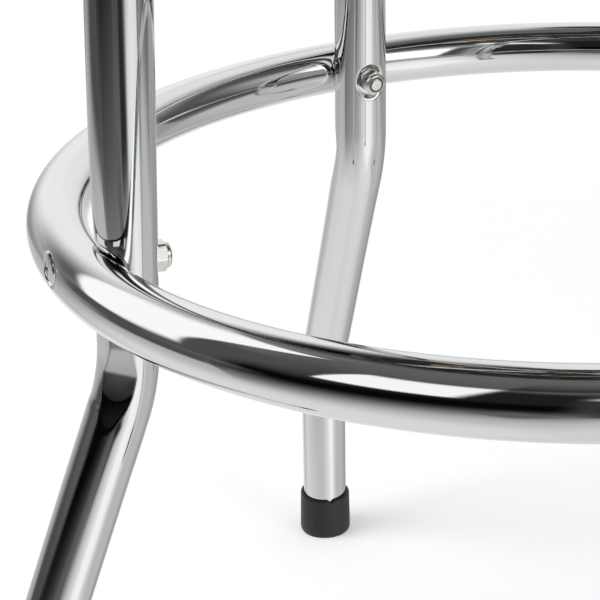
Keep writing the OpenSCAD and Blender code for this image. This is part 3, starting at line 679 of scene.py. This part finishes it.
# Rubber tips
def make_tip(n, m=128):
    """A moulded rubber tip in its own axis, trimmed level at the floor, with the step of its mould under the lip."""
    pocket, foot, mouth = TUBE_R + 0.06, TIP_FOOT_R - 0.35, TIP_MOUTH_R - 0.2
    foot_round, lip_round = 3.0, 0.8
    line = [(4.0, 0.0), (8.0, 0.0), (foot - foot_round - 0.4, 0.0)]
    line += [(foot - foot_round * (1 - math.sin(t)), foot_round * (1 - math.cos(t)))
             for t in np.linspace(0.12, math.pi / 2, 9)]
    line += [(foot + (mouth - foot) * k, foot_round + (TIP_H - 5.2) * k) for k in (0.15, 0.4, 0.6, 0.8, 0.93, 1.0)]
    line += [(mouth, TIP_H - 1.2)]
    line += [(mouth - lip_round * (1 - math.cos(t)), TIP_H - lip_round * (1 - math.sin(t)))
             for t in np.linspace(0.2, math.pi / 2, 6)]
    line += [(pocket + 0.5, TIP_H - 0.02), (pocket + 0.12, TIP_H - 0.2), (pocket, TIP_H - 0.7), (pocket, TIP_H - 6),
             (pocket, TIP_FLOOR)]
    a = circle(m)
    line = np.array(line)
    # The rim isn't quite round, and the mould's parting line runs up two sides
    parting, parting_wide = 1.1, 0.03
    wall = ramp(line[:, 1:], 2, 8) * (line[:, :1] > pocket + 0.3)
    lines = bell(a, parting, parting_wide) + bell(a, parting + math.pi, parting_wide)
    r = line[:, :1] + wall * (0.10 * np.sin(3 * a + n) + 0.16 * lines)
    top = ramp(line[:, 1:], TIP_H - 2.6, TIP_H - 0.6)
    z = line[:, 1:] + top * 0.22 * np.sin(2 * a + 0.7 * n)
    if n == 2:
        # A nick in the rear tip's rim
        z = z - top * 1.5 * bell(a, 2.967, 0.10)
    own = np.stack([r * np.cos(a), r * np.sin(a), z], 2)
    own = np.concatenate([own.reshape(-1, 3), [[0, 0, 0], [0, 0, TIP_FLOOR]]])
    c, s = math.cos(LEAN), math.sin(LEAN)
    x = FOOT_R + TIP_SINK * math.tan(LEAN) + own[:, 0] * c - own[:, 2] * s
    up = np.maximum(-TIP_SINK + own[:, 0] * s + own[:, 2] * c, 0.0)
    v = quarter(np.stack([x, own[:, 1], up], 1), n)
    ob = add_mesh(f"rubber_tip_{n}", v, turned(len(line), m), sharp=42)
    outwards(ob)
    dress(ob, "black_rubber", "root", f"leg_tip_{n}")


for n in range(1, 5):
    make_tip(n)


# Seat
SEAT_TOP, SEAT_R, CROWN, CROWN_POWER = 762.0, 190.5, 20.0, 2.6
WELT_R, WELT_Z, WELT_CORD_R = 184.0, 742.0, 2.5
BOARD_TOP_Z, SIDE_FOOT_Z, SIDE_FOOT_R, HEM_R = 690.8, 674.6, 176.3, 151.0
SIDE_H, SIDE_BULGE, VINYL_T = WELT_Z - SIDE_FOOT_Z, 10.1, 1.2


def top_height(r):
    return SEAT_TOP - CROWN * (r / WELT_R) ** CROWN_POWER


def side_radius(s, full=1.0):
    return WELT_R + (SIDE_FOOT_R - WELT_R) * s + SIDE_BULGE * full * np.sin(math.pi * s)


def lathe(line, around):
    """Points of a line of (distance, height) turned round the seat's axis."""
    a = circle(around)
    line = np.asarray(line, float)
    return np.stack([line[:, :1] * np.cos(a), line[:, :1] * np.sin(a), np.repeat(line[:, 1:], around, 1)], 2)


def coords(me):
    """A mesh's points, in millimetres."""
    co = np.empty(len(me.vertices) * 3)
    me.vertices.foreach_get("co", co)
    return co.reshape(-1, 3) / MM


def puffed_seat():
    """A closed cushion that a cloth run has filled, held along its seam and under its board."""
    slack, seam_drop, held_r, held_h, most = 0.72, 0.6, 3.4, 5, 7.0
    s = np.linspace(0.004, 1, 40)
    top = np.stack([WELT_R * s, top_height(WELT_R * s) - 2.2 * (1 - s**6) - seam_drop], 1)
    k = np.linspace(0, 1, 18)[1:]
    side = np.stack([side_radius(k, slack), WELT_Z - SIDE_H * k], 1)
    foot = np.stack([np.linspace(SIDE_FOOT_R, 0.8, 34)[1:], np.full(33, SIDE_FOOT_Z)], 1)
    pts = lathe(np.concatenate([top, side, foot]), 220)
    v = np.concatenate([pts.reshape(-1, 3), [[0, 0, top[0, 1]], [0, 0, SIDE_FOOT_Z]]]) * MM
    ob = add_mesh("seat_start", v, turned(*pts.shape[:2]))
    bpy.context.view_layer.objects.active = ob
    mod = ob.modifiers.new("voxels", "REMESH")
    mod.mode, mod.voxel_size, mod.use_smooth_shade = "VOXEL", 0.0052, True
    apply_modifiers(ob)
    co = coords(ob.data)
    seam = np.hypot(np.hypot(co[:, 0], co[:, 1]) - WELT_R, co[:, 2] - WELT_Z + seam_drop) < held_r
    low = co[:, 2] < SIDE_FOOT_Z + held_h
    held = ob.vertex_groups.new(name="held")
    held.add([int(i) for i in np.flatnonzero(seam | low)], 1.0, "REPLACE")
    cloth = ob.modifiers.new("cloth", "CLOTH")
    st = cloth.settings
    st.quality, st.mass, st.time_scale = 6, 0.35, 1.0
    st.tension_stiffness = st.compression_stiffness = 18
    st.shear_stiffness, st.bending_stiffness = 8, 2.5
    st.use_pressure, st.uniform_pressure_force = True, 4.0
    st.shrink_min = -0.012
    st.vertex_group_mass, st.pin_stiffness = "held", 1.0
    st.effector_weights.gravity = 0
    cloth.collision_settings.use_collision = False
    frames = 20
    cloth.point_cache.frame_start, cloth.point_cache.frame_end = 1, frames
    for f in range(1, frames + 1):
        scene.frame_set(f)
    apply_modifiers(ob)
    move = coords(ob.data) - co
    move *= np.minimum(1, most / np.maximum(np.linalg.norm(move, axis=1, keepdims=True), 1e-6))
    ob.data.vertices.foreach_set("co", ((co + move) * MM).ravel())
    ob.data.update()
    scene.frame_set(1)
    return ob


def apply_modifiers(ob):
    """Keeps what an object's modifiers make of it, and drops the modifiers."""
    bpy.context.view_layer.update()
    got = bpy.data.meshes.new_from_object(ob.evaluated_get(bpy.context.evaluated_depsgraph_get()))
    ob.modifiers.clear()
    old, ob.data = ob.data, got
    bpy.data.meshes.remove(old)


def angle_noise(a, lo, hi, count, seed):
    """A smooth random line round the seat, between -1 and 1 or so."""
    rng = np.random.default_rng(seed)
    k, ph = rng.integers(lo, hi, count), rng.uniform(0, 2 * math.pi, count)
    return np.sin(a[:, None] * k + ph).sum(1) / math.sqrt(count)


def turn_from(a, bearing):
    """How far round angles are from a bearing in degrees, up to half a turn either way."""
    return (a - math.radians(bearing) + math.pi) % (2 * math.pi) - math.pi


def fit_to(tree, line, way, around):
    """Points of a turned line, moved along the given ways onto the puffed cushion."""
    reach = 14.0
    pts = lathe(line, around)
    a = circle(around)
    out = pts.copy()
    for i in range(len(line)):
        for j in range(around):
            d = Vector((way[i][0] * math.cos(a[j]), way[i][0] * math.sin(a[j]), way[i][1]))
            hit = tree.ray_cast((Vector(pts[i, j]) + d * reach) * MM, -d, 2 * reach * MM)[0]
            if hit is not None:
                out[i, j] = np.array(hit) / MM
    return out


def seamed(pts, line, far):
    """Brings the rows near the seam back onto their line, so that both panels end in the welt."""
    keep = ramp(far, 0.8, 7.5)[:, None, None]
    return pts * keep + lathe(line, pts.shape[1]) * (1 - keep)


def line_ways(line):
    """Unit ways out of the seat, square to a line that runs from the middle of the top down to the foot."""
    line = np.asarray(line)
    t = np.gradient(line, axis=0)
    w = np.stack([-t[:, 1], t[:, 0]], 1)
    return w / np.linalg.norm(w, axis=1, keepdims=True)


def shell(name, pts, closed_middle=False):
    """A sheet of vinyl with an outer and an inner side and closed edges, from rows of points round the axis."""
    inside = [0, 0, 720.0]
    n, m = pts.shape[:2]
    du = np.gradient(pts, axis=0)
    dv = np.roll(pts, -1, 1) - np.roll(pts, 1, 1)
    nrm = np.cross(du, dv)
    nrm /= np.maximum(np.linalg.norm(nrm, axis=2, keepdims=True), 1e-9)
    inner = pts - nrm * VINYL_T * np.sign((nrm * (pts - inside)).sum())
    v = np.concatenate([pts.reshape(-1, 3), inner.reshape(-1, 3)])
    faces = grid_faces(n, m, flip=True) + grid_faces(n, m, first=n * m)
    last = (n - 1) * m
    faces += [(last + j, last + (j + 1) % m, n * m + last + (j + 1) % m, n * m + last + j) for j in range(m)]
    if closed_middle:
        c = len(v)
        v = np.concatenate([v, [[0, 0, pts[0, :, 2].mean()], [0, 0, inner[0, :, 2].mean()]]])
        faces += [(c, (j + 1) % m, j) for j in range(m)]
        faces += [(c + 1, n * m + j, n * m + (j + 1) % m) for j in range(m)]
    else:
        faces += [(j, n * m + j, n * m + (j + 1) % m, (j + 1) % m) for j in range(m)]
    ob = add_mesh(name, v * MM, faces, sharp=60)
    outwards(ob)
    return ob


def make_top(tree, a, gather):
    """The top panel, from its middle to where it dives under the welt, with small puckers along the seam."""
    r = np.concatenate([[1.0], np.linspace(6, 150, 34), np.linspace(152, WELT_R, 24)])
    line = np.stack([r, top_height(r)], 1)
    far = WELT_R - r
    pts = seamed(fit_to(tree, line, line_ways(line), len(a)), line, far)
    puckers = np.exp(-far / 9.0) * ramp(far, -0.5, 3.0)
    waves = np.exp(-far / 22.0) * ramp(far, 2, 12)
    pts[:, :, 2] += 0.42 * puckers[:, None] * gather + 0.3 * waves[:, None] * angle_noise(a, 22, 50, 6, 8)
    pts[:, :, 2] -= 0.9 * bell(far, 0, 3.0)[:, None]
    cover = shell("seat_top_cover", pts, closed_middle=True)
    dress(cover, "black_vinyl", "seat", "seat_top_panel")
    return pts


def make_band(tree, a, gather):
    """The side band, down to its foot and turned in under the board. Returns what of it stands above the board."""
    fold, seam_bearing = 1.6, 52
    s = np.concatenate([np.linspace(0, 0.2, 10), np.linspace(0.23, 0.8, 20), np.linspace(0.82, 1, 10)])
    line = np.stack([side_radius(s), WELT_Z - (SIDE_H - fold) * s], 1)
    way = np.stack([np.ones_like(s), np.zeros_like(s)], 1)
    pts = seamed(fit_to(tree, line, way, len(a)), line, s * SIDE_H)
    high, drop = s[:, None] * SIDE_H, (1 - s)[:, None] * SIDE_H
    radial = np.hypot(pts[:, :, 0], pts[:, :, 1])
    radial += 0.40 * np.exp(-high / 8.0) * ramp(high, 0.5, 4) * gather
    radial += 0.55 * np.exp(-drop / 14.0) * ramp(drop, -0.5, 2.5) * angle_noise(a, 30, 84, 9, 12)
    radial += 0.35 * np.exp(-drop / 30.0) * angle_noise(a, 11, 30, 6, 14)
    # The band's own upright seam, behind: a groove beside the raised lap
    q = turn_from(a, seam_bearing) * SEAT_R
    radial += (0.75 * bell(q, 2.6, 2.0) - 1.5 * bell(q, 0, 0.9)) * ramp(high, 0, 4) * ramp(drop, 0, 4)
    radial -= 0.8 * bell(high, 0, 2.6)
    pts[:, :, 0], pts[:, :, 1] = radial * np.cos(a), radial * np.sin(a)
    edge = radial[-1]
    foot = [(edge - fold * (1 - math.cos(f)), SIDE_FOOT_Z + fold * (1 - math.sin(f)))
            for f in map(math.radians, (30, 60, 90))]
    pleat = 0.5 + 0.5 * angle_noise(a, 46, 47, 1, 2)
    for x in np.linspace(0.08, 1, 8):
        sag = 0.25 * pleat * math.sin(math.pi * min(1, 1.4 * x))
        foot.append((edge - fold + (HEM_R - edge + fold) * x, SIDE_FOOT_Z - sag))
    under = [np.stack([rr * np.cos(a), rr * np.sin(a), np.broadcast_to(zz, a.shape)], 1) for rr, zz in foot]
    band = shell("seat_band_cover", np.concatenate([pts, under]))
    dress(band, "black_vinyl", "seat", "seat_side_band")
    return pts[pts[:, 0, 2] > BOARD_TOP_Z + 2]


def make_foam(top, side):
    """The foam under both panels, down to the board."""
    top, side = top[:, ::3], side[3:, ::3]
    top = top[np.hypot(top[:, 0, 0], top[:, 0, 1]) < WELT_R - 4] - [0, 0, VINYL_T + 0.5]
    far = np.hypot(side[:, :, 0], side[:, :, 1])
    side = side * np.stack([1 - (VINYL_T + 0.7) / far] * 2 + [np.ones_like(far)], 2)
    edge = side[-1] * [1, 1, 0] + [0, 0, BOARD_TOP_Z + 1]
    body = np.concatenate([top, side, [edge, edge * [0.994, 0.994, 0] + [0, 0, BOARD_TOP_Z]]])
    v = np.concatenate([body.reshape(-1, 3), [[0, 0, top[0, 0, 2]], [0, 0, BOARD_TOP_Z]]])
    pad = add_mesh("seat_pad", v * MM, turned(*body.shape[:2]), sharp=60)
    dress(pad, "foam", "seat", "seat_foam")


def make_welt(a):
    """A cord in a folded strip, its two ends lapped behind."""
    across, lap_bearing = 16, 57
    A, B = np.meshgrid(a, circle(across), indexing="ij")
    wob = (0.18 * angle_noise(a, 40, 110, 7, 21) + 0.12 * angle_noise(a, 5, 20, 5, 22))[:, None]
    lap = bell(turn_from(a, lap_bearing) * WELT_R, 0, 7.0)[:, None]
    cr = WELT_CORD_R * (1 + 0.05 * angle_noise(a, 90, 200, 6, 23)[:, None] + 0.12 * lap)
    rr = WELT_R + 0.5 + wob + cr * np.cos(B)
    zz = WELT_Z + 0.2 + 0.6 * wob + cr * np.sin(B)
    v = np.stack([rr * np.cos(A), rr * np.sin(A), zz], 2)
    welt = add_mesh("seat_welt_cord", v.reshape(-1, 3) * MM, grid_faces(len(a), across, wrap_rows=True, flip=True))
    dress(welt, "black_vinyl", "seat", "seat_welt")


def make_seat(around=540):
    puffed = puffed_seat()
    tree = BVHTree.FromObject(puffed, bpy.context.evaluated_depsgraph_get())
    bpy.data.objects.remove(puffed)
    a = circle(around)
    gather = angle_noise(a, 58, 132, 9, 3) * (0.7 + 0.5 * angle_noise(a, 2, 9, 4, 5))
    make_foam(make_top(tree, a, gather), make_band(tree, a, gather))
    make_welt(a)


make_seat()


# Studio, seen only in what shines
def card(az, el, a0, e0, half_a, half_e, turn, left, right, low, high):
    """How much a soft-edged card covers: its middle's bearing and height, half sizes, turn and four soft edges."""
    d, e, w = (az - a0 + 180) % 360 - 180, el - e0, math.radians(turn)
    u, v = d * math.cos(w) + e * math.sin(w), e * math.cos(w) - d * math.sin(w)
    return (ramp(u, -half_a - left, -half_a) * ramp(-u, -half_a - right, -half_a)
            * ramp(v, -half_e - low, -half_e) * ramp(-v, -half_e - high, -half_e))


def studio():
    """A dark room with a pale floor and soft boxes round the stool, all as light that only what shines sees."""
    az, el = np.meshgrid(np.arange(-180, 180, 1.0), np.linspace(-90, 90, 181), indexing="ij")
    level = 0.128 + 0.057 * ramp(el, 40, 80)
    low = ramp(-el, -29.9, 69.2)
    level = level * (1 - low) + 0.921 * low
    # (bearing, height, half width, half height, turn, soft edges left, right, low and high, level)
    cards = [
        (115.3, -5.8, 22.4, 52.1, 55.8, 22.0, 58.2, 7.1, 7.0, 0.657),
        (55.3, 32.8, 16.8, 16.0, -6.1, 44.6, 20.7, 49.2, 25.4, 1.101),
        (-146.5, 5.9, 44.5, 2.4, 4.2, 1.0, 35.2, 38.1, 50.0, 0.018),
        (157.8, 13.8, 11.1, 23.5, -4.5, 20.5, 10.2, 5.3, 13.3, 0.116),
        (126.1, 31.8, 27.8, 23.5, 14.8, 38.2, 1.9, 10.3, 2.3, 1.426),
        (-153.4, 34.9, 16.8, 12.4, 0.7, 1.0, 48.8, 3.9, 6.1, 1.389),
        (-117.9, 27.5, 22.0, 11.8, -9.9, 3.9, 20.1, 1.0, 40.0, 0.034),
        (-70.3, -7.8, 14.4, 35.8, -5.5, 42.5, 51.8, 50.0, 18.7, 1.068),
        (-27.1, -2.0, 25.9, 5.4, 1.5, 3.8, 54.9, 21.8, 29.9, 0.119),
        (90.0, 76.1, 13.1, 15.0, -34.5, 9.4, 29.9, 29.3, 50.0, 0.010),
        (27.3, -34.9, 26.8, 16.2, 13.9, 1.1, 1.0, 1.0, 1.0, 0.384),
        (-21.3, -36.2, 14.1, 14.2, -12.0, 28.0, 60.0, 1.8, 6.4, 0.714),
        (-78.1, -35.8, 4.1, 6.9, 60.0, 10.7, 29.1, 14.2, 13.8, 1.330),
        (161.7, -64.9, 33.8, 14.7, -22.7, 30.5, 60.0, 50.0, 30.8, 1.017),
        (84.1, -43.1, 19.3, 18.3, -38.0, 20.1, 32.9, 11.5, 10.4, 0.969),
        (-71.8, 20.5, 20.0, 8.6, 17.7, 3.9, 11.3, 1.0, 12.1, 2.200),
        (-108.0, 9.0, 6.0, 21.9, -1.8, 11.2, 11.9, 5.2, 5.4, 0.048),
        (121.5, 15.8, 1.8, 1.0, 41.3, 30.0, 3.1, 47.7, 41.7, 0.158),
        (60.3, 52.7, 2.9, 1.8, 13.9, 1.4, 43.1, 23.5, 19.9, 0.005),
        (-131.6, -14.6, 1.4, 3.7, -50.2, 10.1, 7.8, 4.8, 5.4, 0.166),
        (160.4, 2.3, 9.0, 1.0, -3.8, 59.4, 14.9, 6.1, 1.1, 0.155),
        (140.2, 2.2, 9.6, 3.8, -2.0, 8.3, 7.5, 3.8, 2.6, 0.123),
        (-102.5, 40.3, 11.6, 1.0, 31.0, 9.1, 1.0, 1.0, 3.5, 1.279),
        (72.1, 68.3, 1.4, 1.0, 23.4, 10.3, 19.2, 1.0, 10.3, 0.337),
        (99.0, -11.3, 1.0, 1.0, 18.6, 19.0, 35.6, 1.0, 26.9, 0.371),
        (-62.8, 4.1, 26.5, 1.5, 14.3, 20.9, 19.8, 8.4, 3.9, 0.441),
        (13.3, 5.3, 4.4, 6.5, -15.6, 4.7, 44.9, 50.0, 3.4, 0.509),
        (32.4, -5.8, 1.0, 5.0, 2.1, 6.5, 1.5, 4.5, 3.0, 1.007),
        (-90.2, 14.5, 1.5, 15.5, 5.6, 6.5, 3.8, 6.2, 12.0, 0.118),
    ]
    for *place, value in cards:
        k = card(az, el, *place)
        level = level * (1 - k) + value * k
    # What the cards' fit found comes out a shade brighter in the render
    too_bright, darkest = 0.016, 0.003
    level = np.clip(level - too_bright, darkest, None)
    dome_r = 2.6
    a, e = np.radians(az), np.radians(el)
    v = np.stack([np.cos(a) * np.cos(e), np.sin(a) * np.cos(e), np.sin(e)], 2) * dome_r + [0, 0, RING_Z * MM]
    ob = add_mesh("studio_dome", v.reshape(-1, 3), grid_faces(*az.shape, wrap_rows=True, wrap_cols=False))
    tone = np.stack([level * 0.985, level * 0.995, level * 1.0, np.ones_like(level)], 2).reshape(-1, 4)
    ob.data.color_attributes.new("tone", "FLOAT_COLOR", "POINT").data.foreach_set("color", tone.ravel())
    s = Shader("studio_tone")
    at = s.node("Attribute", attribute_name="tone").outputs["Color"]
    ob.data.materials.append(s.shows(s.node("Emission", {"Color": at, "Strength": 1.0})))
    s.mat.cycles.emission_sampling = "NONE"
    for rays in ("camera", "diffuse", "transmission", "shadow", "volume_scatter"):
        setattr(ob, "visible_" + rays, False)


studio()


# Floor, lights and world
def make_floor():
    """A pale disc that takes the stool's shadow and fades out before its edge."""
    n, rings, fade_from, fade_to = 96, 11, 0.5, 0.95
    a = circle(n)
    v = np.concatenate([np.stack([r * np.cos(a), r * np.sin(a), np.zeros(n)], 1) for r in np.linspace(0, 1, rings)])
    ob = add_mesh("floor", v, grid_faces(rings, n))
    s = Shader("floor")
    lit = s.node("BsdfDiffuse", {"Color": (0.86, 0.86, 0.86, 1)})
    glow = s.node("Emission", {"Color": (1, 1, 1, 1), "Strength": 0.23})
    both = s.node("AddShader", {0: lit.outputs[0], 1: glow.outputs[0]})
    x, y = s.node("SeparateXYZ", {"Vector": s.coord}).outputs[:2]
    far = s.math("SQRT", s.math("ADD", s.math("POWER", x, 2.0), s.math("POWER", y, 2.0)))
    fade = s.node("MapRange", {"Value": far, "From Min": fade_from, "From Max": fade_to},
                  interpolation_type="SMOOTHSTEP").outputs[0]
    clear = s.node("BsdfTransparent")
    ob.data.materials.append(s.shows(s.node("MixShader", {0: fade, 1: both.outputs[0], 2: clear.outputs[0]})))
    ob.visible_glossy = False


def make_lights():
    """Two soft lights, and a world that lights dimly but looks white to the camera and in mirrors and glass."""
    target = Vector((0, 0, 0.35))
    for name, place, size, power in (("key", (-1.6, 0.6, 1.9), 1.4, 26), ("fill", (0.9, -1.9, 1.3), 1.2, 12)):
        data = bpy.data.lights.new(name, "AREA")
        data.shape, data.size, data.size_y, data.energy = "RECTANGLE", size, size, power
        ob = bpy.data.objects.new(name, data)
        scene.collection.objects.link(ob)
        ob.location = place
        ob.rotation_euler = (target - Vector(place)).to_track_quat("-Z", "Y").to_euler()
        ob.visible_glossy = False
    scene.world = bpy.data.worlds.new("studio")
    scene.world.use_nodes = True
    t = Nodes(scene.world.node_tree)
    light = t.node("Background", {"Color": (0.98, 0.99, 1, 1), "Strength": 0.62})
    white = t.node("Background", {"Color": (1, 1, 1, 1), "Strength": 1.0})
    ray = t.node("LightPath").outputs
    seen = t.math("MAXIMUM", ray["Is Camera Ray"], ray["Is Glossy Ray"])
    seen = t.math("MAXIMUM", seen, ray["Is Transmission Ray"])
    mix = t.node("MixShader", {0: seen, 1: light.outputs[0], 2: white.outputs[0]})
    t.node("OutputWorld", {"Surface": mix.outputs[0]})


make_floor()
make_lights()
scene.view_settings.view_transform = "Standard"
